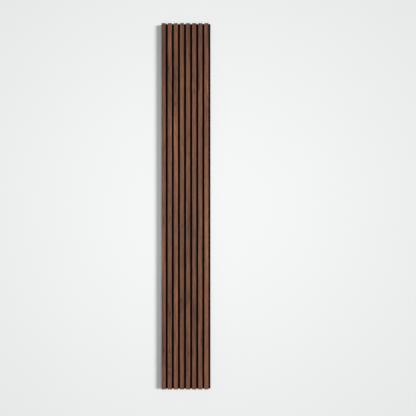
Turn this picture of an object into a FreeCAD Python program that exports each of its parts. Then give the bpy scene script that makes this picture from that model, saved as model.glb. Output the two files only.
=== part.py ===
import FreeCAD, Part
import Sketcher
import os

# Acoustic slat wall panel
# Strips of black board, each faced with wood veneer, lie side by side on a sheet of black felt.
# Staples driven from behind pass through the felt into every strip and clamp it while the glue sets.
# Millimetres. +Z runs up the slats, -Y faces the room, and the origin is the middle of the face that
# lies against the wall.

# Driving dimensions, each with what it measures
DIMENSIONS = (
    ("panel_length", 2400, "length of the slats and of the felt"),
    ("slat_count", 8, "slats side by side"),
    ("slat_width", 27, "width of one slat"),
    ("slat_gap", 13, "open channel between two slats, and the bare felt past the last one"),
    ("felt_thickness", 9, "sheet of needled felt"),
    ("core_thickness", 11.4, "black board core of a slat"),
    ("veneer_thickness", 0.6, "wood face glued to the core"),
    ("veneer_arris", 0.25, "bevel sanded along the edges of the veneer"),
    ("crown_width", 12.8, "staple, across the outside of its two legs"),
    ("leg_length", 16, "staple, from the back of its crown to its points"),
    ("wire_thickness", 0.65, "staple wire, measured through the bend"),
    ("wire_width", 0.95, "staple wire, measured along the slat"),
    ("bend_ease", 0.3, "outside of the bend between crown and leg"),
    ("point_length", 0.9, "slanted cut at the end of a leg"),
    ("staple_rows", 10, "staples along one slat"),
    ("staple_margin", 75, "first and last staple, from the ends of the slat"),
)

# Lengths that follow from the driving ones, as expressions on the sheet
SLAT_PITCH = "(Sizes.slat_width + Sizes.slat_gap)"
FELT_WIDTH = f"(Sizes.slat_count * {SLAT_PITCH})"
LEFT_EDGE = f"(-{FELT_WIDTH} / 2)"
LOWER_END = "(-Sizes.panel_length / 2)"
HALF_SLAT = "(Sizes.slat_width / 2)"
CORE_FRONT = "(-Sizes.felt_thickness - Sizes.core_thickness)"
VENEER_FRONT = f"({CORE_FRONT} - Sizes.veneer_thickness)"
FIRST_SLAT_X = f"({LEFT_EDGE} + {HALF_SLAT})"
FIRST_STAPLE_Z = f"({LOWER_END} + Sizes.staple_margin)"
STAPLE_RUN = "(Sizes.panel_length - 2 * Sizes.staple_margin)"
SLAT_RUN = f"({FELT_WIDTH} - {SLAT_PITCH})"
HALF_CROWN = "(Sizes.crown_width / 2)"
INNER_LEG = f"({HALF_CROWN} - Sizes.wire_thickness)"
LEG_IN_CORE = "(Sizes.leg_length - Sizes.felt_thickness)"

doc = FreeCAD.newDocument("SlatPanel")
sizes = doc.addObject("Spreadsheet::Sheet", "Sizes")
for row, (alias, number, meaning) in enumerate(DIMENSIONS, start=1):
    sizes.set(f"A{row}", alias)
    sizes.set(f"B{row}", str(number))
    sizes.set(f"C{row}", meaning)
    sizes.setAlias(f"B{row}", alias)
doc.recompute()


def measure(expression):
    """Work out an expression on the sheet."""
    return float(sizes.evalExpression(expression))


# Bodies and sketches

def new_body(label):
    """Start one physical piece."""
    body = doc.addObject("PartDesign::Body", label)
    body.Label = label
    return body


def datum(body, role):
    """Find a plane or an axis of the body's own origin."""
    return next(item for item in body.Origin.OriginFeatures if item.Role == role)


def new_sketch(body, name, plane, offset="0"):
    """Add a sketch on a plane of the body's origin, moved along the plane's normal by an expression."""
    sketch = body.newObject("Sketcher::SketchObject", f"{body.Label}_{name}")
    sketch.AttachmentSupport = (datum(body, plane), "")
    sketch.MapMode = "FlatFace"
    sketch.setExpression("AttachmentOffset.Base.z", offset)
    return sketch


def tie(sketch, name, direction, ends, expression):
    """Add a named dimension to the sketch and tie it to an expression on the sheet."""
    index = sketch.addConstraint(Sketcher.Constraint(direction, *ends, measure(expression)))
    sketch.renameConstraint(index, name)
    sketch.setExpression(f"Constraints.{name}", expression)


def draw_loop(sketch, points):
    """Join points by a closed loop of straight lines, and return the number of the first line."""
    first = sketch.GeometryCount
    corners = [FreeCAD.Vector(across, along, 0) for across, along in points]
    for start, end in zip(corners, corners[1:] + corners[:1]):
        sketch.addGeometry(Part.LineSegment(start, end), False)
    for step in range(len(corners)):
        following = first + (step + 1) % len(corners)
        sketch.addConstraint(Sketcher.Constraint("Coincident", first + step, 2, following, 1))
    return first


def draw_rectangle(sketch, name, left, low, width, height):
    """Draw a rectangle from its lower left corner, every size an expression on the sheet."""
    west, south = measure(left), measure(low)
    east, north = west + measure(width), south + measure(height)
    first = draw_loop(sketch, [(west, south), (east, south), (east, north), (west, north)])
    for side, direction in enumerate(("Horizontal", "Vertical", "Horizontal", "Vertical")):
        sketch.addConstraint(Sketcher.Constraint(direction, first + side))
    tie(sketch, f"{name}_left", "DistanceX", (-1, 1, first, 1), left)
    tie(sketch, f"{name}_low", "DistanceY", (-1, 1, first, 1), low)
    tie(sketch, f"{name}_width", "DistanceX", (first, 1, first, 2), width)
    tie(sketch, f"{name}_height", "DistanceY", (first + 1, 1, first + 1, 2), height)


def draw_outline(sketch, corners):
    """Draw a closed outline whose corners are pairs of expressions on the sheet."""
    first = draw_loop(sketch, [(measure(across), measure(along)) for across, along in corners])
    for step, (across, along) in enumerate(corners):
        tie(sketch, f"corner_{step + 1}_across", "DistanceX", (-1, 1, first + step, 1), across)
        tie(sketch, f"corner_{step + 1}_along", "DistanceY", (-1, 1, first + step, 1), along)


# Features

def pad(body, sketch, name, length, symmetric=False):
    """Thicken a sketch, to one side or to both alike."""
    feature = body.newObject("PartDesign::Pad", f"{body.Label}_{name}")
    feature.Profile = sketch
    feature.SideType = "Symmetric" if symmetric else "One side"
    feature.setExpression("Length", length)
    doc.recompute()
    return feature


def pocket(body, sketch, name, depth):
    """Sink a sketch into the body from the wall side, and make sure that it removed something."""
    before = body.Shape.Volume
    feature = body.newObject("PartDesign::Pocket", f"{body.Label}_{name}")
    feature.Profile = sketch
    feature.Reversed = True
    feature.setExpression("Length", depth)
    doc.recompute()
    if body.Shape.Volume >= before:
        raise RuntimeError(f"{feature.Name} cuts nothing")
    return feature


def repeat(body, originals, name, all_slats=False):
    """Repeat the first staple's features for every staple of one slat, or of all slats."""
    pattern = body.newObject("PartDesign::LinearPattern", f"{body.Label}_{name}")
    pattern.Originals = originals
    pattern.Direction = (datum(body, "Z_Axis"), [""])
    pattern.setExpression("Length", STAPLE_RUN)
    pattern.setExpression("Occurrences", "Sizes.staple_rows")
    if all_slats:
        pattern.Direction2 = (datum(body, "X_Axis"), [""])
        pattern.setExpression("Length2", SLAT_RUN)
        pattern.setExpression("Occurrences2", "Sizes.slat_count")
    body.Tip = pattern
    doc.recompute()
    return pattern


def put_in_row(body, index):
    """Move a piece that was drawn about its own middle to its place in the row of slats."""
    body.setExpression("Placement.Base.x", f"{FIRST_SLAT_X} + {index} * {SLAT_PITCH}")


# Staple seats, the same in the felt and in the cores

def draw_leg_slots(sketch, across, up):
    """Draw the two slots that one staple's legs pierce, about the middle of its crown."""
    low = f"({up} - Sizes.wire_width / 2)"
    for name, left in (("left_leg", f"({across} - {HALF_CROWN})"), ("right_leg", f"({across} + {INNER_LEG})")):
        draw_rectangle(sketch, name, left, low, "Sizes.wire_thickness", "Sizes.wire_width")


# Physical pieces

def make_felt():
    """The sheet of felt, with a seat for each crown pulled into its back and slots where the legs go."""
    body = new_body("felt_backing")
    sheet = new_sketch(body, "sheet", "XZ_Plane")
    draw_rectangle(sheet, "sheet", LEFT_EDGE, LOWER_END, FELT_WIDTH, "Sizes.panel_length")
    pad(body, sheet, "thickness", "Sizes.felt_thickness")

    crown = new_sketch(body, "crown", "XZ_Plane")
    crown_left = f"({FIRST_SLAT_X} - {HALF_CROWN})"
    crown_low = f"({FIRST_STAPLE_Z} - Sizes.wire_width / 2)"
    draw_rectangle(crown, "crown", crown_left, crown_low, "Sizes.crown_width", "Sizes.wire_width")
    crown_seat = pocket(body, crown, "crown_seat", "Sizes.wire_thickness")

    slots = new_sketch(body, "slots", "XZ_Plane")
    draw_leg_slots(slots, FIRST_SLAT_X, FIRST_STAPLE_Z)
    leg_slots = pocket(body, slots, "leg_slots", "Sizes.felt_thickness")
    repeat(body, [crown_seat, leg_slots], "staple_seats", all_slats=True)
    return body


def make_core(index):
    """The black board of one slat, pierced from behind by its row of staples."""
    body = new_body(f"slat_core_{index + 1}")
    board = new_sketch(body, "board", "XY_Plane")
    draw_rectangle(board, "board", f"(-{HALF_SLAT})", CORE_FRONT, "Sizes.slat_width", "Sizes.core_thickness")
    pad(body, board, "length", "Sizes.panel_length", symmetric=True)

    slots = new_sketch(body, "slots", "XZ_Plane", "Sizes.felt_thickness")
    draw_leg_slots(slots, "0", FIRST_STAPLE_Z)
    leg_slots = pocket(body, slots, "leg_slots", LEG_IN_CORE)
    repeat(body, [leg_slots], "leg_slot_row")
    put_in_row(body, index)
    return body


def make_veneer(index):
    """The wood face of one slat, with both long edges eased."""
    body = new_body(f"face_veneer_{index + 1}")
    section = new_sketch(body, "section", "XY_Plane")
    inner = f"({HALF_SLAT} - Sizes.veneer_arris)"
    shoulder = f"({VENEER_FRONT} + Sizes.veneer_arris)"
    draw_outline(section, (
        (f"(-{HALF_SLAT})", CORE_FRONT),
        (f"(-{HALF_SLAT})", shoulder),
        (f"(-{inner})", VENEER_FRONT),
        (inner, VENEER_FRONT),
        (HALF_SLAT, shoulder),
        (HALF_SLAT, CORE_FRONT),
    ))
    pad(body, section, "length", "Sizes.panel_length", symmetric=True)
    put_in_row(body, index)
    return body


def make_staples():
    """Every staple of the panel: wire with a flat crown, two eased bends and two slanted points."""
    body = new_body("staples")
    body.AllowCompound = True
    wire = new_sketch(body, "wire", "XY_Plane")
    crown_end = f"({HALF_CROWN} - Sizes.bend_ease)"
    heel = "(Sizes.point_length - Sizes.leg_length)"
    right_half = (
        (crown_end, "0"),
        (HALF_CROWN, "(-Sizes.bend_ease)"),
        (HALF_CROWN, heel),
        (INNER_LEG, "(-Sizes.leg_length)"),
        (INNER_LEG, "(-Sizes.wire_thickness)"),
    )
    left_half = tuple((f"(-{across})", along) for across, along in reversed(right_half))
    draw_outline(wire, right_half + left_half)
    bent_wire = pad(body, wire, "width", "Sizes.wire_width", symmetric=True)
    repeat(body, [bent_wire], "rows_and_columns", all_slats=True)
    body.setExpression("Placement.Base.x", FIRST_SLAT_X)
    body.setExpression("Placement.Base.z", FIRST_STAPLE_Z)
    return body


pieces = [make_felt()]
for slat in range(int(measure("Sizes.slat_count"))):
    pieces.append(make_core(slat))
    pieces.append(make_veneer(slat))
pieces.append(make_staples())
doc.recompute()

# Nothing is written unless every object is sound
for item in doc.Objects:
    if "Invalid" in item.State or "Error" in item.State:
        raise RuntimeError(f"{item.Name} failed: {item.State}")
for piece in pieces:
    if piece.Shape.isNull() or not piece.Shape.isValid():
        raise RuntimeError(f"{piece.Label} has no valid shape")

os.makedirs("parts", exist_ok=True)
for piece in pieces:
    piece.Shape.exportStep(f"parts/{piece.Label}.step")
    box = piece.Shape.BoundBox
    size = f"{box.XLength:.2f} x {box.YLength:.2f} x {box.ZLength:.2f} mm"
    print(f"{piece.Label}: {len(piece.Shape.Solids)} solid(s), {size}, {piece.Shape.Volume:.1f} mm3")
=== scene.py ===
# %% [markdown]
# # An acoustic slat wall panel
# The panel is a sheet of stiff black felt with eight strips of black board glued and stapled to it, and
# each strip carries a face of dark walnut veneer. The construction already has every piece at its real
# size. This lesson dresses those pieces: it gives each its finish, rebuilds the felt with the relief that
# felt has, bends the staples as real wire bends, and photographs the panel on a pale wall.
# Everything is in metres. +Z runs up the slats, +Y goes into the wall and -Y into the room.

# %% Load the fixed frame
import math
from dataclasses import dataclass

import bpy
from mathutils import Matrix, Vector, noise


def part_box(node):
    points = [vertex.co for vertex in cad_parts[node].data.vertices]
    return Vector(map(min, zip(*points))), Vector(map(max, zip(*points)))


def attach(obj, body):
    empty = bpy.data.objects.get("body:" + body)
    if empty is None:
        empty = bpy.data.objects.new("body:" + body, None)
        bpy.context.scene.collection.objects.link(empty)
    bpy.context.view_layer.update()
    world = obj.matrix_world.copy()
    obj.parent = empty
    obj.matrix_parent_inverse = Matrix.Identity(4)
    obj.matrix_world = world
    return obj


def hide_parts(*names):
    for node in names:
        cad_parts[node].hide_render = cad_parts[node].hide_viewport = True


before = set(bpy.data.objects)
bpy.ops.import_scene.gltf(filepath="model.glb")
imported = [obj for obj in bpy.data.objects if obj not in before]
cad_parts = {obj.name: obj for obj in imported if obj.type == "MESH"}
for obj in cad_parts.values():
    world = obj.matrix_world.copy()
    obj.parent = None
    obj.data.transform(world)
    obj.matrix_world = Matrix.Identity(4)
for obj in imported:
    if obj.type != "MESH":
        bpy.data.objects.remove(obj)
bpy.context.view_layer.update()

print("pieces in the frame:", ", ".join(sorted(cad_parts)))

# %% [markdown]
# Every size that the finishes need is read from the frame, so that nothing is fitted by eye. The slats
# repeat at one pitch, which is the distance between the left edges of two neighbours. Grain, fibres and
# tool marks are thought of in millimetres, so one named value turns those into metres.

# %% Read the sizes of the panel
MM = 0.001
felt_low, felt_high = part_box("felt_backing")
slat_nodes = sorted(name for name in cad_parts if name.startswith("face_veneer_"))
slat_boxes = [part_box(name) for name in slat_nodes]
slat_width = slat_boxes[0][1].x - slat_boxes[0][0].x
slat_pitch = slat_boxes[1][0].x - slat_boxes[0][0].x
slat_front = slat_boxes[0][0].y
slat_middles = [(low.x + high.x) / 2 / MM for low, high in slat_boxes]
panel_length = felt_high.z - felt_low.z
print(f"{len(slat_nodes)} slats of {slat_width / MM:.1f} mm at a pitch of {slat_pitch / MM:.1f} mm")

# %% [markdown]
# ## Arithmetic on sockets
# A finish is a small calculation: so much grain, less where the pores are, darker round an eye. Blender
# writes such sums as nodes, one for every operation, and a long sum becomes a web that nobody can read.
# Here a class wraps a socket and gives it the usual operators, so that `1 - mask * depth` in Python adds
# the two nodes. Some nodes have more outputs than one, so a strand can also hand out its siblings.

# %% Wrap sockets so that they can be reckoned with
class Strand:
    """One output of a node. Arithmetic on it adds Math nodes to the tree that it belongs to."""

    def __init__(self, bench, socket):
        self.bench = bench
        self.socket = socket

    def math(self, operation, *others, first=None):
        values = (self, *others) if first is None else (first, self)
        return self.bench.node("ShaderNodeMath", {"operation": operation}, *values)

    def __add__(self, other):
        return self.math("ADD", other)

    def __sub__(self, other):
        return self.math("SUBTRACT", other)

    def __rsub__(self, other):
        return self.math("SUBTRACT", first=other)

    def __mul__(self, other):
        return self.math("MULTIPLY", other)

    def __truediv__(self, other):
        return self.math("DIVIDE", other)

    def __rtruediv__(self, other):
        return self.math("DIVIDE", first=other)

    def __pow__(self, other):
        return self.math("POWER", other)

    def __rpow__(self, other):
        return self.math("POWER", first=other)

    def __neg__(self):
        return self * -1.0

    __radd__ = __add__
    __rmul__ = __mul__

    def siblings(self):
        """All outputs of the node that this strand comes from, in their order."""
        return [Strand(self.bench, socket) for socket in self.socket.node.outputs]


print("strands can be added, subtracted, multiplied, divided and raised to a power")

# %% [markdown]
# Every other node comes from one method of the bench on which a tree is put together. It takes the type of
# the node, then its options, because some of these change its sockets, and then what goes into the sockets,
# in order or by name. Ramps and mixes have methods of their own: they carry colours, which a Math node
# would turn grey.

# %% Make a bench for node trees
class Bench:
    """A node tree being put together: every part of a finish is made on it."""

    def __init__(self, tree):
        self.tree = tree

    def node(self, kind, settings=None, *values, output=0, **named):
        """Add a node, set its options, then fill its inputs in order or by name."""
        made = self.tree.nodes.new(kind)
        for option, choice in (settings or {}).items():
            setattr(made, option, choice)
        for place, value in [*enumerate(values), *named.items()]:
            key = place.replace("_", " ") if isinstance(place, str) else place
            self.fill(made.inputs[key], value)
        return Strand(self, made.outputs[output])

    def fill(self, socket, value):
        """Link a strand to a socket, or set a plain value on it."""
        if isinstance(value, Strand):
            self.tree.links.new(value.socket, socket)
        elif value is not None:
            socket.default_value = value

    def ramp(self, strand, stops):
        """Turn a number into a colour by stops of (place, colour)."""
        made = self.tree.nodes.new("ShaderNodeValToRGB")
        elements = made.color_ramp.elements
        while len(elements) < len(stops):
            elements.new(0.5)
        for element, (place, colour) in zip(elements, stops):
            element.position = place
            element.color = (*colour, 1.0)
        self.fill(made.inputs[0], strand)
        return Strand(self, made.outputs[0])

    def between(self, strand, low, high):
        """0 at low, 1 at high and a soft step between them, whichever of the two is larger."""
        soft = {"interpolation_type": "SMOOTHSTEP"}
        return self.node("ShaderNodeMapRange", soft, strand, low, high, 0.0, 1.0)

    def mix(self, factor, plain, changed):
        """Blend two colours."""
        made = self.tree.nodes.new("ShaderNodeMix")
        made.data_type = "RGBA"
        sockets = [socket for socket in made.inputs if socket.type == "RGBA"]
        self.fill(made.inputs[0], factor)
        self.fill(sockets[0], plain)
        self.fill(sockets[1], changed)
        return Strand(self, next(socket for socket in made.outputs if socket.type == "RGBA"))


print("a bench makes nodes, ramps, soft steps and mixes")

# %% [markdown]
# A finish always starts from the point of the piece that is being shaded. Because every piece keeps its
# place in its mesh, the object coordinates are true places on the panel, and one number across the panel
# or up it means the same thing on every piece. Noise stretched along one direction makes fibres, so the
# helper asks for a length of each blotch across and along, in millimetres. A shift goes to another part of
# the noise, and it moves less in depth and up the panel, so that no two noises line up.

# %% Start a finish, and make stretched noise in millimetres
SHIFT_IN_DEPTH = 0.37
SHIFT_ALONG = 0.71


class Finish(Bench):
    """A material with its Principled shader, and places on the piece in millimetres."""

    def __init__(self, name):
        self.material = bpy.data.materials.new(name)
        self.material.use_nodes = True
        super().__init__(self.material.node_tree)
        self.shader = self.tree.nodes["Principled BSDF"]
        place = self.node("ShaderNodeTexCoord", output="Object")
        parts = self.node("ShaderNodeSeparateXYZ", None, place).siblings()
        self.x, self.y, self.z = (part * (1 / MM) for part in parts)

    def point(self, x, y, z):
        return self.node("ShaderNodeCombineXYZ", None, x, y, z)

    def noise(self, across, depth, along, detail=2.0, roughness=0.5, shift=0.0, x=None, z=None):
        """Noise of about 0 to 1 whose blotches are so many millimetres in X, Y and Z."""
        here = self.point(
            (self.x if x is None else x) / across + shift,
            self.y / depth + shift * SHIFT_IN_DEPTH,
            (self.z if z is None else z) / along - shift * SHIFT_ALONG,
        )
        return self.node("ShaderNodeTexNoise", None, Vector=here, Scale=1.0, Detail=detail,
                         Roughness=roughness)

    def set(self, **values):
        """Fill sockets of the shader, such as Base_Color or Roughness."""
        for name, value in values.items():
            self.fill(self.shader.inputs[name.replace("_", " ")], value)

    def emboss(self, height, depth_mm):
        """Raise the surface by a height of 0 to 1 times a depth in millimetres."""
        bump = self.node("ShaderNodeBump", None, Height=height, Distance=depth_mm * MM, Strength=1.0)
        self.set(Normal=bump)


print("finishes are measured in millimetres, the pieces in metres")

# %% [markdown]
# ## Walnut veneer
# Each slat has a face of sliced walnut under matt lacquer. Veneer shows where the knife crossed the growth
# rings: far from the heart of the log the lines run straight, near it they close into long arches. Over
# that lie slow changes between reddish and greyish brown, long streaks, fine fibres, short dark pores
# and here and there a small eye where the fibres part round a pin knot.
# A picture of wood could be pasted on, but it would repeat and blur. Here the rings are worked out from the
# distance to the heart of the log instead, so that each slat is another leaf of veneer, and the eyes bend
# the lines round themselves. A leaf is described by where the heart of its log lies, aside and in depth, by
# the slope of the knife, by a tone and a warmth for all of it, and by its marks.

# %% Say what a leaf of veneer is
@dataclass
class Leaf:
    """A strip of veneer. Heart and depth are in millimetres, and the slope is depth gained per length."""
    heart: float
    depth: float
    slope: float
    tone: float
    warmth: float
    stretches: tuple = ()
    slants: tuple = ()
    streaks: tuple = ()
    eyes: tuple = ()


print("a leaf is described by its", ", ".join(Leaf.__dataclass_fields__))

# %% [markdown]
# What makes one leaf unlike the next is listed, as a buyer of veneer might note it. The
# places and tones were chosen from the brightness measured along each slat of the photograph, and put
# right where the render still differed from it. Places are millimetres from the middle of the slat, and
# tones run from -1, much darker, to 1, much lighter:
# - a stretch is a length of slat that is lighter or darker: (middle, half length, tone);
# - a slant is a length whose right edge is lighter than its left one: (middle, half length, by how much);
# - a streak is a narrow stretch: (across, half width, middle, half length, tone);
# - an eye is (across, up, half width, half length, darkness), and a darkness below 0 is a warm glint.

# %% Describe the eight leaves
LEAVES = (
    Leaf(-64, 20, 0.010, -0.05, 0.10,
         stretches=((1080, 260, -0.38), (-360, 210, 0.34), (-910, 130, -0.36), (-100, 110, -0.24),
                    (-560, 100, 0.10), (-1110, 60, 0.16)),
         slants=((300, 380, 0.65), (-310, 110, -0.8), (-700, 260, 1.0)),
         eyes=((0, 369, 2.5, 16, 0.5), (-6, 5, 2.5, 14, 0.5), (0, -95, 4, 28, 0.9), (-4, -866, 3, 20, 0.5),
               (0, -941, 3, 18, 0.8))),
    Leaf(3, 9, 0.012, 0.0, -0.05,
         stretches=((1120, 120, 0.18), (790, 110, -0.05), (430, 190, 0.30), (-650, 140, -0.34),
                    (-960, 90, -0.1)),
         slants=((895, 75, 0.6), (720, 90, 0.9), (380, 230, 0.8), (-170, 90, -0.4), (-530, 100, -0.35),
                 (-890, 110, -0.5)),
         streaks=((-8, 3.0, 1050, 90, 0.5),),
         eyes=((-7, 903, 3, 16, 0.7), (0, 873, 3, 10, 1.0), (0, 821, 3, 12, 0.8), (5, 40, 3, 16, 0.5),
               (0, -21, 2, 5, -0.8), (0, -83, 4, 22, 0.6), (0, -706, 4, 20, 0.6), (-2, -950, 4, 18, 0.9),
               (2, -974, 2, 6, -0.9), (0, -1046, 3, 14, 0.8), (-2, -1068, 2.5, 7, -0.8),
               (-2, -1092, 3, 8, 0.8))),
    Leaf(-48, 6, -0.006, 0.08, 0.30,
         stretches=((1150, 90, 0.42), (870, 300, -0.36), (685, 60, -0.30), (410, 230, 0.50),
                    (-600, 190, 0.30)),
         slants=((490, 110, -0.55), (230, 100, 0.8), (-520, 430, 0.9)),
         eyes=((4, 905, 2, 14, 0.5), (-3, 760, 4, 30, 0.4), (0, 670, 3, 12, 0.9), (0, -155, 3.5, 28, 0.6))),
    Leaf(72, 14, 0.004, -0.06, -0.15,
         stretches=((520, 280, 0.24), (1120, 130, -0.14), (-660, 90, -0.72), (-250, 260, -0.30)),
         slants=((1050, 110, -0.8), (250, 110, 0.5), (-260, 280, -0.75), (-700, 80, 0.6), (-920, 190, -0.55)),
         eyes=((0, -129, 3, 14, 0.6), (0, -240, 2, 7, 0.9), (-4, -620, 3, 20, 0.8))),
    Leaf(-9, 12, -0.014, 0.0, 0.0,
         stretches=((1130, 130, -0.32), (920, 110, 0.20), (275, 110, 0.26), (-130, 175, -0.56),
                    (-780, 90, 0.30), (-930, 120, -0.18), (-1160, 50, -0.20)),
         slants=((350, 60, -0.6), (-170, 210, -1.0), (-830, 110, 0.8), (-1010, 90, 0.75)),
         eyes=((7, 978, 2.5, 12, 0.4), (6, 480, 3, 20, 0.7), (5, 343, 3, 18, 0.7), (6, 28, 3, 34, 0.5),
               (5, -600, 3, 30, 0.4), (0, -961, 3, 12, 0.9), (0, -1072, 3, 10, 0.9))),
    Leaf(58, 25, 0.007, -0.10, -0.10,
         stretches=((1140, 110, -0.26), (600, 330, 0.16), (-290, 100, -0.22), (-750, 240, -0.54)),
         slants=((430, 70, 0.55), (20, 130, 0.55), (-790, 190, -0.5), (-1120, 50, -0.7)),
         eyes=((-8, 860, 3, 22, 0.7), (3, 755, 3, 16, 0.9), (0, -175, 4, 30, 0.5), (0, -690, 5, 60, 0.25))),
    Leaf(-40, 8, -0.009, 0.14, 0.12,
         stretches=((1130, 180, -0.40), (865, 80, -0.34), (660, 110, 0.26), (310, 90, -0.20),
                    (-190, 100, -0.24), (-900, 140, -0.26)),
         slants=((870, 80, 0.9), (735, 60, -0.7), (310, 170, -0.95), (-65, 80, 1.1), (-350, 120, -1.0),
                 (-860, 150, -0.75)),
         eyes=((-8, 788, 3, 26, 0.9), (0, -201, 3, 12, 0.5), (7, -890, 3, 20, 0.4), (7, -1040, 3, 14, 0.4))),
    Leaf(66, 10, 0.005, 0.24, 0.25,
         stretches=((1140, 110, -0.54), (955, 55, -0.28), (600, 120, -0.16), (-80, 280, 0.46),
                    (-660, 90, 0.20), (-870, 80, -0.28), (-1095, 90, 0.32)),
         slants=((1165, 60, -1.1), (955, 55, 0.9), (630, 90, -0.6), (310, 80, -0.6), (-50, 50, -0.6),
                 (-350, 110, 0.6), (-870, 80, 0.5)),
         streaks=((7, 2.8, 785, 40, 0.7),),
         eyes=((7, 710, 3, 20, 0.4), (2, 480, 3, 30, 0.3), (4, -610, 2, 16, 0.4))),
)
assert len(LEAVES) == len(slat_nodes)
print(sum(len(leaf.eyes) for leaf in LEAVES), "eyes in", len(LEAVES), "leaves of veneer")

# %% [markdown]
# Stretches, slants, streaks and eyes all need the same thing: a number that is 1 at a place and fades
# softly to 0 round it. A vector node scales the place, so that the spot becomes round, and takes its
# length. A stretch reaches across the whole slat, so its half width is made far larger than the slat.

# %% Make a soft spot
WHOLE_WIDTH = 1e5
SPOT_REACH = 1.75


def soft_spot(finish, here, centre_x, centre_z, half_width, half_length):
    """1 at a place on the leaf, 0.4 at its half sizes, and falling softly to 0 outside them."""
    scale = (1 / half_width, 0.0, 1 / half_length)
    shift = (-centre_x / half_width, 0.0, -centre_z / half_length)
    scaled = finish.node("ShaderNodeVectorMath", {"operation": "MULTIPLY_ADD"}, here, scale, shift)
    distance = finish.node("ShaderNodeVectorMath", {"operation": "LENGTH"}, scaled, output="Value")
    return finish.between(distance, SPOT_REACH, 0.0)


print("a spot fades to nothing at", SPOT_REACH, "times its half size")

# %% [markdown]
# The growth rings come next. The knife runs a small depth above the heart of the log, and this depth
# changes slowly up the leaf because no log is straight, so the distance from the heart is worked out from
# the place across the leaf and that depth. Slow noise makes the lines wander, and every clear eye pushes
# them aside. A ring is pale where the spring wood starts, darkens gradually and ends in a thin dark line.
# How far the lines wander and waver, and how far an eye pushes them, is in millimetres.

# %% Draw the growth rings of one leaf
WANDER = 15.0
WAVER = 2.6
CLEAR_EYE = 0.8
EYE_PUSH = 1.5
PUSHED_WIDTH, PUSHED_LENGTH = 1.9, 1.7
RING_WIDTH = 3.4
UNEVEN_RINGS = 1.6
LATE_WOOD = 3.0
RING_END = 0.93


def place_on_leaf(finish, leaf, middle, seed):
    """Places on the leaf in millimetres: across it, across it along the bent fibres, and as a point."""
    across = finish.x - middle
    here = finish.point(across, 0.0, finish.z)
    wander = finish.noise(70, 70, 620, detail=2.0, shift=seed) - 0.5
    waver = finish.noise(16, 16, 150, detail=3.0, shift=seed + 3.1) - 0.5
    bent = across + wander * WANDER + waver * WAVER
    for eye_x, eye_z, half_width, half_length, darkness in leaf.eyes:
        if darkness >= CLEAR_EYE:
            pushed = (half_width * PUSHED_WIDTH, half_length * PUSHED_LENGTH)
            spot = soft_spot(finish, here, eye_x, eye_z, *pushed)
            bent = bent - (across - eye_x) * spot * (EYE_PUSH / half_width)
    return across, bent, here


def growth_rings(finish, leaf, bent):
    """0 in spring wood and rising to 1 in the thin dark line that ends each ring."""
    height = finish.z * leaf.slope + leaf.depth
    from_heart = bent - leaf.heart
    distance = (from_heart * from_heart + height * height) ** 0.5
    turns = distance / RING_WIDTH
    uneven = finish.noise(9.0, 9.0, 900, detail=1.0, shift=leaf.heart, x=bent)
    phase = (turns + uneven * UNEVEN_RINGS).math("FRACT")
    late = phase ** LATE_WOOD
    return late * finish.between(phase, 1.0, RING_END)


print(f"rings are about {RING_WIDTH} mm apart")

# %% [markdown]
# The rest of the finish is added to one number, the tone: 0.5 is the middle brown, less is darker and
# greyer, more is lighter and warmer. First comes the slow part. What is described for the leaf is laid over
# the figure of the wood, which is noise at four scales: long bands, shorter clouds, flames a few
# centimetres long and narrow streaks. Each has a width, a length, a detail and its share of the tone.
# Noise rarely reaches its ends, so a few dark flecks and light glints are cut out of its crests. All of
# this goes deep into the veneer unchanged, so the noise is far longer in depth than the veneer is thick.

# %% Work out the slow part of the tone
FIGURES = (
    (9.0, 620.0, 2.0, 0.46),
    (8.0, 170.0, 3.0, 0.66),
    (6.5, 52.0, 2.0, 0.46),
    (3.0, 300.0, 2.0, 0.30),
)
DEEP = 40
MIDDLE_TONE = 0.50
LEAF_SHARE = 0.30
FLECK_SHARE = 0.24
GLINT_SHARE = 0.20
STRETCH_SHARE = 0.34
SLANT_SHARE = 0.40
STREAK_SHARE = 0.36


def leaf_tone(finish, leaf, across, bent, here, seed):
    """The slow part of the tone: what is described for this leaf, and bands that follow the grain."""
    tone = MIDDLE_TONE + leaf.tone * LEAF_SHARE
    for step, (wide, long, detail, share) in enumerate(FIGURES):
        shift = seed + 7 + 3.3 * step
        figure = finish.noise(wide, DEEP, long, detail=detail, roughness=0.55, shift=shift, x=bent)
        tone = (figure - 0.5) * share + tone
    flecks = finish.between(finish.noise(4.2, DEEP, 64, detail=2.0, shift=seed + 31, x=bent), 0.60, 0.76)
    glints = finish.between(finish.noise(4.2, DEEP, 44, detail=2.0, shift=seed + 37, x=bent), 0.62, 0.78)
    tone = tone - flecks * FLECK_SHARE + glints * GLINT_SHARE
    for middle, half_length, strength in leaf.stretches:
        stretch = soft_spot(finish, here, 0.0, middle, WHOLE_WIDTH, half_length)
        tone = tone + stretch * (strength * STRETCH_SHARE)
    for middle, half_length, strength in leaf.slants:
        stretch = soft_spot(finish, here, 0.0, middle, WHOLE_WIDTH, half_length)
        tone = tone + across * stretch * (strength * SLANT_SHARE * MM / slat_width)
    for streak_x, half_width, middle, half_length, strength in leaf.streaks:
        streak = soft_spot(finish, here, streak_x, middle, half_width, half_length)
        tone = tone + streak * (strength * STREAK_SHARE)
    return tone


print("the longest figure is", max(along for across, along, detail, share in FIGURES), "mm long")
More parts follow.
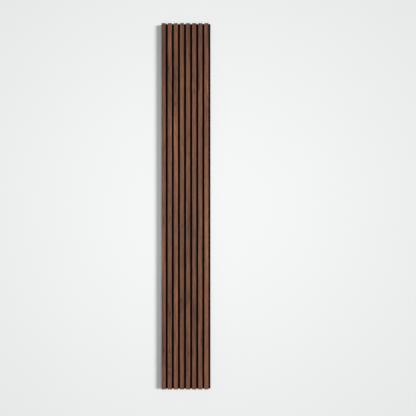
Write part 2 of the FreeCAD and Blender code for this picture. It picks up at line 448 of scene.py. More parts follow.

# %% [markdown]
# A ramp turns the tone into the browns of oiled walnut, from the dark of a pore to the light of a glint, and
# some bands are mixed towards grey. The sides of a slat are sealed black. Along the last millimetres of its
# face the colour falls off softly to that black: this is painted shade, which makes the channels between
# the slats read darker.

# %% Choose the browns of walnut
PLANED_BLACK = (0.0040, 0.0040, 0.0045)
WALNUT = (
    (0.00, (0.041, 0.020, 0.014)),
    (0.26, (0.096, 0.041, 0.027)),
    (0.50, (0.156, 0.066, 0.038)),
    (0.76, (0.244, 0.099, 0.052)),
    (1.00, (0.380, 0.167, 0.084)),
)
GREY_BROWN = (0.131, 0.069, 0.048)
GREYEST = 0.5
# Painted shade: along both edges the veneer darkens softly towards black, beside the dark channels.
PAINTED_SHADE_REACH = 1.7
DARKEST_PAINTED_SHADE = 0.90
print(len(WALNUT), "browns, and a stain that fades out", PAINTED_SHADE_REACH, "mm from an edge")

# %% [markdown]
# To the slow tone come the things that a finger almost feels: fibres a third of a millimetre wide, the
# silk between them, the rings, the eyes and the open pores. The same numbers, in other shares, give the
# roughness of the lacquer and the height of the open grain, so that light and colour agree. The fibres
# also make the painted shade along the edges ragged.

# %% Make a veneer finish
FIBRE_SHARE = 0.40
SILK_SHARE = 0.36
RING_SHARE = 0.30
EYE_SHARE = 0.55
PORE_SHARE = 0.26
LIGHTER = 0.075


def veneer_finish(number, leaf, middle):
    """Matt walnut for one slat, whose middle is at a place across the panel in millimetres."""
    finish = Finish(f"walnut_leaf_{number}")
    seed = 17.3 * number
    across, bent, here = place_on_leaf(finish, leaf, middle, seed)
    rings = growth_rings(finish, leaf, bent)
    fibres = finish.noise(0.30, 0.8, 26, detail=3.0, roughness=0.62, shift=seed, x=bent)
    silk = finish.noise(1.1, 3.0, 110, detail=2.0, shift=seed + 5, x=bent)
    pores = finish.between(finish.noise(0.20, 0.5, 3.6, detail=1.0, shift=seed + 2, x=bent), 0.60, 0.68)
    pores = pores * (1.0 - rings * 0.6)

    tone = leaf_tone(finish, leaf, across, bent, here, seed)
    tone = tone + (fibres - 0.5) * FIBRE_SHARE + (silk - 0.5) * SILK_SHARE - rings * RING_SHARE + LIGHTER
    for eye_x, eye_z, half_width, half_length, darkness in leaf.eyes:
        core = soft_spot(finish, here, eye_x, eye_z, half_width, half_length)
        tone = tone - core * (darkness * EYE_SHARE)

    colour = finish.ramp(tone - pores * PORE_SHARE, WALNUT)
    greyness = finish.noise(6.0, DEEP, 420, detail=2.0, shift=seed + 23, x=bent)
    greyness = finish.between(greyness, 0.48 + leaf.warmth * 0.3, 0.86) * GREYEST
    colour = finish.mix(greyness, colour, (*GREY_BROWN, 1.0))
    from_edge = slat_width / MM / 2 - across.math("ABSOLUTE")
    # Painted shade: the face darkens to black over its last millimetres beside the channels.
    painted_edge_shade = 1.0 - finish.between(from_edge + (fibres - 0.5) * 0.5, 0.05, PAINTED_SHADE_REACH)
    colour = finish.mix(painted_edge_shade * DARKEST_PAINTED_SHADE, colour, (*PLANED_BLACK, 1.0))

    finish.set(Base_Color=colour, Roughness=0.54 + pores * 0.22 + (fibres - 0.5) * 0.16)
    finish.set(Specular_IOR_Level=0.20)
    finish.emboss(fibres * 0.35 - pores * 0.9 - rings * 0.25, 0.06)
    return finish.material


print("fibres may change the tone by", FIBRE_SHARE / 2, "and an eye by", EYE_SHARE)

# %% [markdown]
# The faces of the slats are solids of the construction, so they keep their shape and only get a new
# material. Each has its own, because no two leaves of veneer are alike.

# %% Lay the veneers on the slats
for number, (leaf, node, middle) in enumerate(zip(LEAVES, slat_nodes, slat_middles), start=1):
    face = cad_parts[node]
    face.data.materials.clear()
    face.data.materials.append(veneer_finish(number, leaf, middle))
    print(node, "has its middle at", round(middle, 1), "mm")

# %% [markdown]
# ## Black board
# Under the veneer is fibreboard dyed black all through. Its long sides are planed and sealed, so they are
# smooth with faint marks across them from the cutter. Its ends are sawn and stay open: short fibres stand
# up, and they scatter more light. Which of the two a point belongs to is told by the way that the surface
# faces.

# %% Make the board finish
SAWN_BLACK = (0.012, 0.0115, 0.012)
PALE_FIBRE = (0.060, 0.054, 0.049)
CUTTER_MARK = 1.6


def board_finish():
    """Black fibreboard, sealed along its sides and rough at its ends."""
    finish = Finish("black_fibreboard")
    facing = finish.node("ShaderNodeNewGeometry", output="Normal")
    facing_z = finish.node("ShaderNodeSeparateXYZ", None, facing, output=2)
    end = finish.between(facing_z.math("ABSOLUTE"), 0.5, 0.9)
    specks = finish.noise(0.5, 0.5, 1.6, detail=4.0, roughness=0.7)
    clumps = finish.noise(2.2, 2.2, 5.0, detail=2.0, shift=9)
    marks = (finish.z * (math.tau / CUTTER_MARK)).math("SINE") * 0.5 + 0.5

    colour = finish.mix(end, (*PLANED_BLACK, 1.0), (*SAWN_BLACK, 1.0))
    pale_fibre = finish.between(specks, 0.56, 0.80) * (0.08 + end * 0.77)
    colour = finish.mix(pale_fibre, colour, (*PALE_FIBRE, 1.0))
    finish.set(Base_Color=colour, Roughness=0.56 + end * 0.34 + (clumps - 0.5) * 0.12)
    finish.set(Specular_IOR_Level=0.10)
    finish.emboss(specks * (0.5 + end * 1.5) + marks * (1.0 - end) * 0.10, 0.05)
    return finish.material


black_board = board_finish()
for name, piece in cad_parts.items():
    if name.startswith("slat_core_"):
        piece.data.materials.clear()
        piece.data.materials.append(black_board)
        print(name, "is dyed black")

# %% [markdown]
# ## The felt sheet
# The backing is nine millimetres of needled felt, stiff as card. In the construction it is a flat slab with
# a seat for each staple. The real sheet is softer in outline: its cut edges are a little rounded, it swells
# slightly in the channels where no slat holds it down, and every staple has pulled a dent in. A uniform grid
# would need a million faces to show those dents, so the rows and columns of this mesh crowd together where
# a staple sits and spread out elsewhere. The mesh is the skin of a box, made by a loop over its levels.

# %% Choose the levels of the felt mesh
STAPLE_ROWS = 10
STAPLE_MARGIN = 75 * MM
BESIDE_STAPLE = (0, 2.1, 4.3, 6.4, 7.6, 9.4, 13.5, 14.6, 17.0, 20.0)
ABOVE_STAPLE = (0, 0.8, 1.7, 3.0, 5.0, 8.5, 14.0)
WIDEST_COLUMN = 4.2 * MM
HIGHEST_ROW = 15 * MM
EDGE_LOOP = 0.5 * MM
INNER_LOOP = 3.2 * MM

staple_pitch = (panel_length - 2 * STAPLE_MARGIN) / (STAPLE_ROWS - 1)
staple_heights = [felt_low.z + STAPLE_MARGIN + row * staple_pitch for row in range(STAPLE_ROWS)]
staple_columns = [middle * MM for middle in slat_middles]


def levels_round(places, offsets, low, high, widest):
    """Levels from low to high, at offsets in millimetres from the places, with no step above the widest."""
    wanted = {low, high, low + EDGE_LOOP, high - EDGE_LOOP}
    for place in places:
        wanted.update(place + side * offset * MM for offset in offsets for side in (-1, 1))
    inside = sorted(level for level in wanted if low <= level <= high)
    levels = [inside[0]]
    for level in inside[1:]:
        steps = max(1, math.ceil((level - levels[-1]) / widest - 0.01))
        start = levels[-1]
        levels.extend(start + (level - start) * (step + 1) / steps for step in range(steps))
    return levels


felt_columns = levels_round(staple_columns, BESIDE_STAPLE, felt_low.x, felt_high.x, WIDEST_COLUMN)
felt_rows = levels_round(staple_heights, ABOVE_STAPLE, felt_low.z, felt_high.z, HIGHEST_ROW)
felt_layers = [felt_low.y, felt_low.y + EDGE_LOOP, felt_low.y + INNER_LOOP,
               felt_high.y - INNER_LOOP, felt_high.y - EDGE_LOOP, felt_high.y]
print(len(felt_columns), "columns,", len(felt_rows), "rows and", len(felt_layers), "layers")

# %% [markdown]
# The skin has six sides. Each grid point on it is made once and remembered by its three level numbers, so
# neighbouring sides share their points and the mesh is closed without any merging.

# %% Build the skin of a box from its levels
def skin_of_box(columns, layers, rows):
    """Points and outward faces of a box's surface, and the level numbers that each point came from."""
    counts = (len(columns), len(layers), len(rows))
    points, keys, known = [], [], {}

    def corner(*key):
        if key not in known:
            known[key] = len(points)
            keys.append(key)
            points.append(Vector((columns[key[0]], layers[key[1]], rows[key[2]])))
        return known[key]

    faces = []
    for axis in range(3):
        first, second = (axis + 1) % 3, (axis + 2) % 3
        for end in (0, counts[axis] - 1):
            for i in range(counts[first] - 1):
                for j in range(counts[second] - 1):
                    ring = []
                    for step_i, step_j in ((0, 0), (1, 0), (1, 1), (0, 1)):
                        key = [0, 0, 0]
                        key[axis], key[first], key[second] = end, i + step_i, j + step_j
                        ring.append(corner(*key))
                    faces.append(ring if end else ring[::-1])
    return points, faces, keys


felt_points, felt_faces, felt_keys = skin_of_box(felt_columns, felt_layers, felt_rows)
print(len(felt_points), "points and", len(felt_faces), "faces")

# %% [markdown]
# Relief moves those points, always inwards at the back so that nothing reaches into the wall, and by a
# fraction of a millimetre outwards in the channels. The dent of a staple has two parts: a narrow trench
# under the crown, and a wide shallow dish where the legs have drawn the fibres in.

# %% Shape the dents and the channels
CROWN_WIDTH = 12.8 * MM
TRENCH_DEPTH, TRENCH_REACH = 0.50 * MM, 1.7 * MM
DISH_DEPTH, DISH_REACH = 0.45 * MM, 8.5 * MM
SWELL = 0.45 * MM


def nearest(value, places):
    """How far a value is from the nearest of some places, with its sign."""
    return min((value - place for place in places), key=abs)


def staple_dent(x, z):
    """How deep the back of the felt is pulled in, round the nearest staple."""
    beside = max(abs(nearest(x, staple_columns)) - CROWN_WIDTH / 2, 0.0)
    distance = math.hypot(beside, nearest(z, staple_heights))
    trench = TRENCH_DEPTH * math.exp(-((distance / TRENCH_REACH) ** 2))
    return trench + DISH_DEPTH * math.exp(-((distance / DISH_REACH) ** 2))


def channel_swell(x):
    """How far the felt stands out in front, between two slats or past the last one."""
    channel = slat_pitch - slat_width
    from_slat = (x - felt_low.x) % slat_pitch - slat_width
    if from_slat <= 0 or x >= felt_high.x - EDGE_LOOP:
        return 0.0
    share = from_slat / channel
    return SWELL * (4 * share * (1 - share)) ** 0.7


print(f"a channel swells by {SWELL / MM:.2f} mm along its middle")

# %% [markdown]
# The relief is laid on the points with some noise, which makes the sheet a little uneven, slowly over its
# faces and more quickly along its cut edges. A cut edge has no sharp corner either: it rolls in.

# %% Lay the relief on the points
UNEVEN_BACK = 0.10 * MM
UNEVEN_SWELL = 0.35
ROLL = 0.20 * MM
RIPPLE = 0.06 * MM


def relaxed(point, key, counts):
    """The place of a point of the skin once the felt has its relief and its edges are eased."""
    moved = point.copy()
    slow = noise.noise(Vector((point.x * 22, 3.7, point.z * 14)))
    if key[1] == counts[1] - 1:
        moved.y -= staple_dent(point.x, point.z) + UNEVEN_BACK * (1 + slow)
    if key[1] == 0:
        moved.y -= channel_swell(point.x) * (1 + UNEVEN_SWELL * slow)
    ends = [(part == 0) - (part == count - 1) for part, count in zip(key, counts)]
    if sum(map(abs, ends)) > 1:
        moved += Vector(ends) * ROLL
    if ends[2] or ends[0]:
        ripple = noise.noise(Vector((point.x * 90, point.y * 160, point.z * 90)))
        moved += Vector((ends[0], 0, ends[2])) * (RIPPLE * (1 + ripple))
    return moved


felt_counts = (len(felt_columns), len(felt_layers), len(felt_rows))
felt_shape = [relaxed(point, key, felt_counts) for point, key in zip(felt_points, felt_keys)]
deepest = max((before - after).y for before, after in zip(felt_points, felt_shape))
print(f"the deepest dent is {deepest / MM:.2f} mm")

# %% [markdown]
# The points become a mesh, and the mesh a piece. Every piece of this lesson goes through one helper, so
# that none is forgotten: it rides on the panel and stands for the plain solid that it replaces. The faces
# are shaded smooth, but an edge sharper than 50 degrees stays an edge.

# %% Turn the points into the felt sheet
def add_piece(name, mesh, slot, *replaced):
    """Put a finished mesh into the scene as a piece that rides on the panel."""
    piece = bpy.data.objects.new(name, mesh)
    bpy.context.scene.collection.objects.link(piece)
    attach(piece, "root")
    if replaced:
        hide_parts(*replaced)
    print(name, "has", sum(len(face.vertices) - 2 for face in mesh.polygons), "triangles")
    return piece


felt_mesh = bpy.data.meshes.new("felt_sheet")
felt_mesh.from_pydata([tuple(point) for point in felt_shape], [], felt_faces)
felt_mesh.polygons.foreach_set("use_smooth", [True] * len(felt_faces))
felt_mesh.set_sharp_from_angle(angle=math.radians(50))
felt_sheet = add_piece("felt_sheet", felt_mesh, "black_felt", "felt_backing")

# %% [markdown]
# ## Felt finish
# Needled felt is a tangle: curved fibres lie in every direction and cross at random, pressed flat on the
# faces and cut off at the edges, with a tiny pit wherever a needle went through. Three layers of stretched
# noise, each turned another way, read as crossing fibres when only their crests are kept. The felt is
# dyed black but its fibres are glossy enough to catch a little light, so crests are paler than the tangle.

# %% Make the felt finish
FELT_BLACK = (0.0026, 0.0026, 0.0028)
FELT_CREST = (0.019, 0.019, 0.0205)
PIT_PITCH = 2.7


def fibre_layer(finish, turn, width, length, shift):
    """Crests of fibres that all run about one way on the face of the sheet."""
    cosine, sine = math.cos(turn), math.sin(turn)
    across = finish.x * cosine + finish.z * sine
    along = finish.z * cosine - finish.x * sine
    curl = (finish.noise(2.6, 2.6, 2.6, detail=2.0, shift=shift) - 0.5) * 2.4
    layer = finish.noise(width, 1.5, length, detail=1.0, shift=shift, x=across + curl, z=along)
    return finish.between(layer, 0.56, 0.74)


def felt_finish(name, crest_share):
    """Black felt. The share says how strongly the crests of the fibres show."""
    finish = Finish(name)
    turns = (0.15, 1.20, 2.25)
    layers = [fibre_layer(finish, turn, 0.24, 2.6, 4.0 * step) for step, turn in enumerate(turns, start=1)]
    tangle = layers[0].math("MAXIMUM", layers[1]).math("MAXIMUM", layers[2])
    cloud = finish.noise(24, 6, 34, detail=3.0, shift=40)
    here = finish.point(finish.x / PIT_PITCH, finish.y / PIT_PITCH, finish.z / PIT_PITCH)
    from_pit = finish.node("ShaderNodeTexVoronoi", None, Vector=here, Scale=1.0, Randomness=0.85)
    pit = finish.between(from_pit, 0.20, 0.05)
    shown = tangle * (0.35 + cloud * 0.75) * crest_share * (1.0 - pit * 0.7)
    colour = finish.mix(shown, (*FELT_BLACK, 1.0), (*FELT_CREST, 1.0))
    finish.set(Base_Color=colour, Roughness=0.88 + pit * 0.10, Specular_IOR_Level=0.06)
    finish.set(Sheen_Weight=0.04, Sheen_Roughness=0.5, Sheen_Tint=(0.30, 0.30, 0.32, 1.0))
    finish.emboss(tangle * 0.8 - pit * 1.0 + cloud * 0.5, 0.16)
    return finish.material


felt_sheet.data.materials.append(felt_finish("black_felt", 1.0))
print("felt finish made")

# %% [markdown]
# ## Trees that make shapes
# Two things repeat many times on this panel: the loose fibres of the felt, and the staples. That is what
# Geometry Nodes are for, and their trees are built with the same methods as the finishes. A tree has named
# inputs for its sizes. It runs as a modifier on a start mesh, its result is copied out as a plain mesh,
# and the modifier goes again, because a finished piece should need nothing but its faces.

# %% Let node trees be built for shapes as well
class ShapeBench(Bench):
    """A Geometry Nodes tree with named inputs, made by the same methods as a finish."""

    def __init__(self, name, **sizes):
        tree = bpy.data.node_groups.new(name, "GeometryNodeTree")
        super().__init__(tree)
        tree.interface.new_socket("Geometry", in_out="INPUT", socket_type="NodeSocketGeometry")
        tree.interface.new_socket("Geometry", in_out="OUTPUT", socket_type="NodeSocketGeometry")
        self.values = {}
        for label, value in sizes.items():
            kind = "NodeSocketInt" if isinstance(value, int) else "NodeSocketFloat"
            socket = tree.interface.new_socket(label.replace("_", " "), in_out="INPUT", socket_type=kind)
            self.values[socket.identifier] = value
        self.entry = tree.nodes.new("NodeGroupInput")

    def given(self, label):
        return Strand(self, self.entry.outputs[label.replace("_", " ")])

    def vector(self, x=0.0, y=0.0, z=0.0):
        return self.node("ShaderNodeCombineXYZ", None, x, y, z)

    def chance(self, low, high, seed):
        """A random number or vector for every point, and the same one in every run."""
        made = self.tree.nodes.new("FunctionNodeRandomValue")
        made.data_type = "FLOAT_VECTOR" if isinstance(low, tuple) else "FLOAT"
        least, most = [socket for socket in made.inputs if socket.enabled][:2]
        self.fill(least, low)
        self.fill(most, high)
        self.fill(made.inputs["Seed"], seed)
        return Strand(self, next(socket for socket in made.outputs if socket.enabled))

    def grow(self, start_mesh, result, material):
        """Run the tree on a mesh, and return what it makes as a plain mesh in one material."""
        real = self.node("GeometryNodeRealizeInstances", None, result)
        painted = self.node("GeometryNodeSetMaterial", None, Geometry=real, Material=material)
        leave = self.tree.nodes.new("NodeGroupOutput")
        self.tree.links.new(painted.socket, leave.inputs[0])
        carrier = bpy.data.objects.new("carrier", start_mesh)
        bpy.context.scene.collection.objects.link(carrier)
        modifier = carrier.modifiers.new("grow", "NODES")
        modifier.node_group = self.tree
        for identifier, value in self.values.items():
            modifier[identifier] = value
        graph = bpy.context.evaluated_depsgraph_get()
        grown = bpy.data.meshes.new_from_object(carrier.evaluated_get(graph), depsgraph=graph)
        carrier.modifiers.remove(modifier)
        bpy.data.objects.remove(carrier)
        return grown


print("shape trees are ready")

# %% [markdown]
# ## Loose fibres
# Seen close, no felt ends in a clean line: single fibres stand out of its face and its cut edges. A hair
# system could grow them, but it isn't a mesh and it can't be told where the wall is. So a tree scatters
# points on the felt and lays a short line on each. Every line is spun about the surface's normal, leans
# over by its own angle, and keeps a random part of its length.

# %% Lay straight fibres on a mesh
FIBRE_POINTS = 4
SHORTEST_SHARE = 0.35


def straight_fibres(bench):
    """Short lines, laid at random on the faces that the tree is given."""
    sown = bench.node("GeometryNodeDistributePointsOnFaces", None, Mesh=bench.given("Geometry"),
                      Density=bench.given("Per_square_metre"), Seed=bench.given("Seed"))
    points, _, turned = sown.siblings()
    line = bench.node("GeometryNodeCurvePrimitiveLine", None, End=bench.vector(z=bench.given("Length")))
    line = bench.node("GeometryNodeResampleCurve", None, Curve=line, Count=FIBRE_POINTS)
    spin = bench.vector(z=bench.chance(0.0, math.tau, 12))
    lean = bench.vector(x=bench.chance(bench.given("Least_lean"), bench.given("Most_lean"), 11))
    local = {"rotation_space": "LOCAL"}
    for turn in (spin, lean):
        turned = bench.node("FunctionNodeRotateRotation", local, Rotation=turned, Rotate_By=turn)
    laid = bench.node("GeometryNodeInstanceOnPoints", None, Points=points, Instance=line, Rotation=turned,
                      Scale=bench.chance(SHORTEST_SHARE, 1.0, 13))
    return bench.node("GeometryNodeRealizeInstances", None, laid)


print("a fibre starts as a straight line of", FIBRE_POINTS, "points")

# %% [markdown]
# One field of noise then bends all lines, more towards their tips, so that no two are alike. The ones that
# would poke into the wall are pressed flat against it. Last, each line is swept with a triangle, which at
# this size looks as round as a circle and has a fraction of its faces.

# %% Bend the fibres and give them thickness
def fibre_tree(name, **sizes):
    """Short bent fibres on the faces of a mesh."""
    bench = ShapeBench(name, **sizes)
    laid = straight_fibres(bench)
    along = bench.node("GeometryNodeSplineParameter", output="Factor")
    place = bench.node("GeometryNodeInputPosition")
    field = bench.node("ShaderNodeTexNoise", None, Vector=place, Scale=bench.given("Curl_scale"), Detail=1.0,
                       output="Color")
    field = bench.node("ShaderNodeVectorMath", {"operation": "SUBTRACT"}, field, (0.5, 0.5, 0.5))
    curl = along * bench.given("Curl")
    bend = bench.node("ShaderNodeVectorMath", {"operation": "SCALE"}, field, Scale=curl)
    laid = bench.node("GeometryNodeSetPosition", None, Geometry=laid, Offset=bend)
    x, y, z = bench.node("ShaderNodeSeparateXYZ", None, place).siblings()
    pressed = bench.vector(x, y.math("MINIMUM", bench.given("Wall")), z)
    laid = bench.node("GeometryNodeSetPosition", None, Geometry=laid, Position=pressed)
    section = bench.node("GeometryNodeCurvePrimitiveCircle", None, Resolution=3, Radius=bench.given("Radius"))
    tubes = bench.node("GeometryNodeCurveToMesh", None, Curve=laid, Profile_Curve=section, Fill_Caps=True)
    return bench, tubes


print("fibre trees are ready")

# %% [markdown]
# Only the felt that can be seen is sown, so the tree receives just those faces: the channels in front, the
# four cut edges and the back. The level numbers of its corners tell to which of these a face belongs.

# %% Pick the faces to be sown
def part_of_felt(name, wanted):
    """A mesh with only the faces of the felt whose level numbers pass a test."""
    chosen = [face for face in felt_faces if wanted([felt_keys[corner] for corner in face])]
    mesh = bpy.data.meshes.new(name)
    mesh.from_pydata([tuple(point) for point in felt_shape], [], chosen)
    return mesh


def is_visible_front(keys):
    """Faces at the front of the sheet, in the channels."""
    if any(key[1] for key in keys):
        return False
    middle = sum(felt_columns[key[0]] for key in keys) / len(keys)
    return (middle - felt_low.x) % slat_pitch > slat_width


def is_edge(keys):
    """Faces of the four cut edges."""
    return len({key[0] for key in keys}) == 1 or len({key[2] for key in keys}) == 1


def is_back(keys):
    """Faces that lie against the wall."""
    return all(key[1] == len(felt_layers) - 1 for key in keys)


print("fibres grow in the channels, on the cut edges and on the back")

# %% [markdown]
# On a cut edge the fibres are many and stand up, since the knife has gone through the tangle. On the back
# they lie nearly flat, as the sheet comes from the press. A row says what to sow where: how many fibres to
# a square metre, the least and the most that they lean over, and the seed of their random draws.

# %% Sow the fibres
FIBRE_LENGTH = 3.4 * MM
FIBRE_RADIUS = 0.035 * MM
CURL = 4.0 * MM
CURLS_PER_METRE = 260.0
PRESSED_FROM_WALL = 0.05 * MM
SOWING = (
    ("fibres_in_channels", is_visible_front, 15000.0, 0.8, 1.5, 3),
    ("fibres_on_edges", is_edge, 90000.0, 0.7, 1.4, 5),
    ("fibres_on_back", is_back, 7000.0, 1.35, 1.55, 8),
)
fibre_finish = felt_finish("loose_fibre", 0.5)
for name, wanted, per_square_metre, least_lean, most_lean, seed in SOWING:
    bench, tubes = fibre_tree(name, Per_square_metre=per_square_metre, Length=FIBRE_LENGTH,
                              Radius=FIBRE_RADIUS, Least_lean=least_lean, Most_lean=most_lean, Curl=CURL,
                              Curl_scale=CURLS_PER_METRE, Wall=felt_high.y - PRESSED_FROM_WALL, Seed=seed)
    fuzz = bench.grow(part_of_felt(name, wanted), tubes, fibre_finish)
    add_piece(name, fuzz, "black_felt")

# %% [markdown]
# ## Staples
# Eighty staples hold the slats. Each is one zinc coated wire, flat in section and bent twice, and driven
# in until only its crown shows, sunk in its trench in the felt. One staple is drawn as a line with four
# points: two at the ends of the crown and two at the tips of the legs. Its bends are filleted, and a
# rectangular section is swept along it.

# %% Bend one staple
LEG_LENGTH = 16 * MM
WIRE_THICKNESS = 0.65 * MM
WIRE_WIDTH = 0.95 * MM
BEND_RADIUS = 0.75 * MM


def bent_wire(bench):
    """One staple whose crown lies along X and whose legs point into the room."""
    line = bench.node("GeometryNodeCurvePrimitiveLine", None, End=bench.vector(x=1.0))
    line = bench.node("GeometryNodeResampleCurve", None, Curve=line, Count=4)
    index = bench.node("GeometryNodeInputIndex")
    right = index.math("GREATER_THAN", 1.5)
    tip = (index - 1.5).math("ABSOLUTE").math("GREATER_THAN", 1.0)
    corner = bench.vector(x=(right * 2.0 - 1.0) * bench.given("Half_crown"), y=-(tip * bench.given("Leg")))
    line = bench.node("GeometryNodeSetPosition", None, Geometry=line, Position=corner)
    line = bench.node("GeometryNodeFilletCurve", {"mode": "POLY"}, Curve=line, Count=4,
                      Radius=bench.given("Bend"))
    section = bench.node("GeometryNodeCurvePrimitiveQuadrilateral", None, Width=bench.given("Thickness"),
                         Height=bench.given("Width"))
    return bench.node("GeometryNodeCurveToMesh", None, Curve=line, Profile_Curve=section, Fill_Caps=True)


print(f"the wire is {WIRE_WIDTH / MM:.2f} by {WIRE_THICKNESS / MM:.2f} mm")

# %% [markdown]
# The tree repeats the staple on a grid of points, with one column behind each slat. A real magazine never
# sets two quite alike, so each staple is turned a little, by at most a few hundredths of a radian.

# %% Repeat the staple on a grid
CROWN_SUNK = 0.40 * MM
ASKEW = (0.008, 0.03, 0.008)


def staple_tree():
    """A grid of staples whose crowns face the wall."""
    bench = ShapeBench("staples", Rows=STAPLE_ROWS, Columns=len(slat_nodes), Row_pitch=staple_pitch,
                       Column_pitch=slat_pitch, Half_crown=(CROWN_WIDTH - WIRE_THICKNESS) / 2,
                       Leg=LEG_LENGTH - WIRE_THICKNESS / 2, Thickness=WIRE_THICKNESS, Width=WIRE_WIDTH,
                       Bend=BEND_RADIUS, Sunk=CROWN_SUNK + WIRE_THICKNESS / 2, Seed=21)
    wire = bent_wire(bench)
    grid = bench.node("GeometryNodeMeshGrid", None,
                      Size_X=(bench.given("Columns") - 1.0) * bench.given("Column_pitch"),
                      Size_Y=(bench.given("Rows") - 1.0) * bench.given("Row_pitch"),
                      Vertices_X=bench.given("Columns"), Vertices_Y=bench.given("Rows"))
    middle_x = sum(staple_columns) / len(staple_columns)
    middle_z = sum(staple_heights) / len(staple_heights)
    upright = bench.node("GeometryNodeTransform", None, Geometry=grid,
                         Translation=bench.vector(middle_x, -bench.given("Sunk"), middle_z),
                         Rotation=(math.radians(90), 0.0, 0.0))
    askew = bench.chance(tuple(-part for part in ASKEW), ASKEW, bench.given("Seed"))
    rows = bench.node("GeometryNodeInstanceOnPoints", None, Points=upright, Instance=wire, Rotation=askew)
    return bench, rows


print(STAPLE_ROWS, "rows of", len(slat_nodes), "staples")

# %% [markdown]
# Staple wire is drawn through a die, which leaves fine lines along it, and coated with zinc, which dulls in
# clouds. The lines run along the crown, so their noise is seven millimetres long and as thin as a hair.

# %% Make the wire finish and put the staples in
DULL_ZINC = (0.34, 0.35, 0.36)
BRIGHT_ZINC = (0.56, 0.57, 0.58)


def wire_finish():
    """Zinc on drawn steel: bright along the crown, with fine lines from the die and dull clouds."""
    finish = Finish("staple_wire")
    lines = finish.noise(7.0, 0.05, 0.05, detail=2.0)
    clouds = finish.noise(1.3, 1.3, 1.3, detail=3.0, shift=5)
    colour = finish.mix(finish.between(clouds, 0.35, 0.70), (*DULL_ZINC, 1.0), (*BRIGHT_ZINC, 1.0))
    finish.set(Base_Color=colour, Metallic=1.0, Roughness=0.26 + clouds * 0.20 + lines * 0.08)
    finish.emboss(lines, 0.010)
    return finish.material


bench, rows = staple_tree()
wires = bench.grow(bpy.data.meshes.new("no_start"), rows, wire_finish())
add_piece("bent_staples", wires, "staple_wire", "staples")

# %% [markdown]
# ## The wall and the floor
# The panel is flat on a plain pale wall. A wall painted with a roller is never quite even, so its colour
# has slow clouds of one part in a hundred and its surface a fine stipple. A finish can also be left out on
# the back of a surface: where the surface is seen from behind, the paint is mixed with a clear shader.

# %% Mix the paint
CLOUDED = 0.985


def paint_finish(name, paint, see_through_back):
    """Matt emulsion with faint clouds and roller stipple."""
    finish = Finish(name)
    clouds = finish.noise(420, 420, 420, detail=3.0)
    stipple = finish.noise(1.7, 1.7, 1.7, detail=3.0)
    darker = tuple(part * CLOUDED for part in paint)
    finish.set(Base_Color=finish.mix(clouds, (*darker, 1.0), (*paint, 1.0)), Roughness=0.93)
    finish.set(Specular_IOR_Level=0.10)
    finish.emboss(stipple, 0.02)
    if see_through_back:
        behind = finish.node("ShaderNodeNewGeometry", output="Backfacing")
        painted = Strand(finish, finish.shader.outputs[0])
        clear = finish.node("ShaderNodeBsdfTransparent")
        either = finish.node("ShaderNodeMixShader", None, behind, painted, clear)
        finish.fill(finish.tree.nodes["Material Output"].inputs["Surface"], either)
    return finish.material


print(f"the clouds take {1 - CLOUDED:.1%} off the paint")

# %% [markdown]
# The wall is painted on its front only: from behind it lets the eye through and it holds no light back, so
# that the back of the panel can be looked at as well. The floor lies below the end of the panel and sends
# no light up to it.

# %% Set up the wall and the floor
WALL_GAP = 0.3 * MM
STAGE_REACH = 7.0
FLOOR_HEIGHT = -1.55
WALL_PAINT = (0.792, 0.809, 0.805)
FLOOR_PAINT = (0.850, 0.855, 0.850)
SQUARE = ((-1, -1), (1, -1), (1, 1), (-1, 1))


def stage_thing(name, points, faces, material):
    """Put a thing of the stage into the scene. A face looks to where its corners run anticlockwise."""
    mesh = bpy.data.meshes.new(name)
    mesh.from_pydata(points, [], faces)
    mesh.materials.append(material)
    thing = bpy.data.objects.new(name, mesh)
    bpy.context.scene.collection.objects.link(thing)
    return thing


wall_y = felt_high.y + WALL_GAP
wall_corners = [(STAGE_REACH * x, wall_y, STAGE_REACH * z) for x, z in SQUARE]
wall = stage_thing("wall", wall_corners, [range(4)], paint_finish("wall_paint", WALL_PAINT, True))
wall.visible_shadow = False
floor_corners = [(STAGE_REACH * x, STAGE_REACH * y, FLOOR_HEIGHT) for x, y in SQUARE]
floor = stage_thing("floor", floor_corners, [range(4)], paint_finish("floor_paint", FLOOR_PAINT, False))
floor.visible_diffuse = False
print(f"the wall is {WALL_GAP / MM:.1f} mm behind the panel")

# %% [markdown]
# Beyond the edges of wall and floor, and through the wall from behind, the eye would see the bare sky of
# the lesson, which is as dim as the fill light has to be. A big pale ball round everything hides it. It
# glows, but it is told to show itself to the eye alone, so that it lights nothing and shades nothing.

# %% Put a pale ball round the studio
SHELL_RADIUS = 12.0
SHELL_RINGS, SHELL_SIDES = 12, 24
SHELL_COLOUR = (0.93, 0.94, 0.94)
SHELL_GLOW = 0.80


def ball(radius, rings, sides):
    """Points and faces of a ball, ring by ring from its top."""
    points, faces = [], []
    for ring in range(rings + 1):
        down = math.pi * ring / rings
        for side in range(sides):
            turn = math.tau * side / sides
            across = (radius * math.sin(down) * math.cos(turn), radius * math.sin(down) * math.sin(turn))
            points.append((*across, radius * math.cos(down)))
    for start in range(0, rings * sides, sides):
        for side in range(sides):
            beside = (side + 1) % sides
            faces.append((start + side, start + beside, start + sides + beside, start + sides + side))
    return points, faces


def glow_finish(colour, strength):
    """A surface that glows evenly and takes no light."""
    material = bpy.data.materials.new("studio_glow")
    material.use_nodes = True
    bench = Bench(material.node_tree)
    bench.tree.nodes.remove(bench.tree.nodes["Principled BSDF"])
    glow = bench.node("ShaderNodeEmission", None, Color=(*colour, 1.0), Strength=strength)
    bench.fill(bench.tree.nodes["Material Output"].inputs["Surface"], glow)
    return material


shell_points, shell_faces = ball(SHELL_RADIUS, SHELL_RINGS, SHELL_SIDES)
shell = stage_thing("studio_shell", shell_points, shell_faces, glow_finish(SHELL_COLOUR, SHELL_GLOW))
shell.visible_diffuse = False
shell.visible_glossy = False
shell.visible_transmission = False
shell.visible_shadow = False
print("the ball is", 2 * SHELL_RADIUS, "metres across")

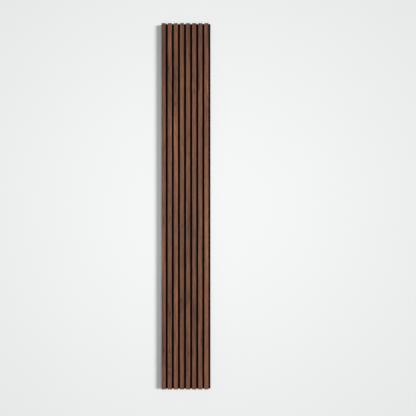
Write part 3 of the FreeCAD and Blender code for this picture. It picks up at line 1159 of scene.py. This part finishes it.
# %% [markdown]
# ## Light
# One large soft source far off to the right gives the panel its shadow on the wall. The width of that
# shadow beside a panel of known depth gives the direction of the light, and how blurred its edge is gives
# the size of the source. An even sky fills the shadow, and a weak soft lamp in front makes the middle of
# the wall a little brighter than its corners. Black felt shows nothing unless it is lit well, so the back
# has a strong lamp of its own. A sun and a lamp differ only in how their size is given, so one helper makes
# them all, and no lamp can be seen itself.

# %% Make lamps and aim them
def aim(thing, towards):
    """Turn a lamp or the camera so that it looks along a direction."""
    thing.rotation_euler = Vector(towards).to_track_quat("-Z", "Y").to_euler()


def add_lamp(name, kind, strength, place, towards, size):
    """Add a lamp. The size of a sun is an angle, and that of any other lamp is a length."""
    lamp = bpy.data.lights.new(name, kind)
    lamp.energy = strength
    if kind == "SUN":
        lamp.angle = size
    else:
        lamp.size = size
    stand = bpy.data.objects.new(name, lamp)
    stand.location = place
    stand.visible_camera = False
    aim(stand, towards)
    bpy.context.scene.collection.objects.link(stand)
    return stand


print("a lamp and the camera are aimed in the same way")

# %% [markdown]
# The lamp in front would also shine straight into the channels, which have to stay the deepest black in the
# picture, and the lamp behind would bleach the floor. So both are linked to a collection and light only what
# is in there: the wall and the faces of the slats in front, and the panel alone from behind.

# %% Light the panel
KEY_FROM = Vector((0.884, -0.443, 0.146))
KEY_DISTANCE = 5
KEY_STRENGTH, KEY_ANGLE = 4.42, math.radians(17.0)
VIEW_X = 0.144
FRONT_FROM = Vector((VIEW_X, -2.5, 0.0))
FRONT_STRENGTH, FRONT_SIZE = 16.0, 0.9
BACK_FROM = Vector((2.4, 2.6, 1.4))
BACK_STRENGTH, BACK_SIZE = 420.0, 1.5
SKY_STRENGTH = 0.29
INTO_THE_WALL = Vector((0, 1, 0))


def light_only(lamp, name, things):
    """Let a lamp light some things and nothing else."""
    lit = bpy.data.collections.new(name)
    for thing in things:
        lit.objects.link(thing)
    lamp.light_linking.receiver_collection = lit


add_lamp("key", "SUN", KEY_STRENGTH, KEY_FROM * KEY_DISTANCE, -KEY_FROM, KEY_ANGLE)
front_fill = add_lamp("front_fill", "AREA", FRONT_STRENGTH, FRONT_FROM, INTO_THE_WALL, FRONT_SIZE)
back_fill = add_lamp("back_fill", "AREA", BACK_STRENGTH, BACK_FROM, -BACK_FROM, BACK_SIZE)
slat_faces = [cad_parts[name] for name in slat_nodes]
meshes = [thing for thing in bpy.context.scene.objects if thing.type == "MESH"]
light_only(front_fill, "lit_in_front", [wall, *slat_faces])
light_only(back_fill, "lit_from_behind", [thing for thing in meshes if thing not in (wall, floor, shell)])

world = bpy.data.worlds.new("studio")
world.use_nodes = True
sky = world.node_tree.nodes["Background"]
sky.inputs["Color"].default_value = (1.0, 1.0, 1.0, 1.0)
sky.inputs["Strength"].default_value = SKY_STRENGTH
bpy.context.scene.world = world
bpy.context.scene.view_settings.view_transform = "Standard"
print("lamps:", ", ".join(sorted(lamp.name for lamp in bpy.data.lights)))

# %% [markdown]
# ## Camera
# The camera looks straight at the wall. How much more the near slat faces spread in the picture than the
# felt behind them tells its distance, and where the view falls on the far side of each slat tells its
# place across. From those follow its lens for a square picture of 2.73 metres at the slat faces.

# %% Place the camera
CAMERA_DISTANCE = 2.300
VIEW_Z = -0.0111
PICTURE_WIDTH = 2.7252
SENSOR = 36.0

camera = bpy.data.objects.new("camera", bpy.data.cameras.new("camera"))
camera.data.sensor_width = SENSOR
camera.data.lens = SENSOR * CAMERA_DISTANCE / PICTURE_WIDTH
camera.location = (VIEW_X, slat_front - CAMERA_DISTANCE, VIEW_Z)
aim(camera, INTO_THE_WALL)
bpy.context.scene.collection.objects.link(camera)
bpy.context.scene.camera = camera
print(f"lens {camera.data.lens:.2f} mm at {CAMERA_DISTANCE} m")
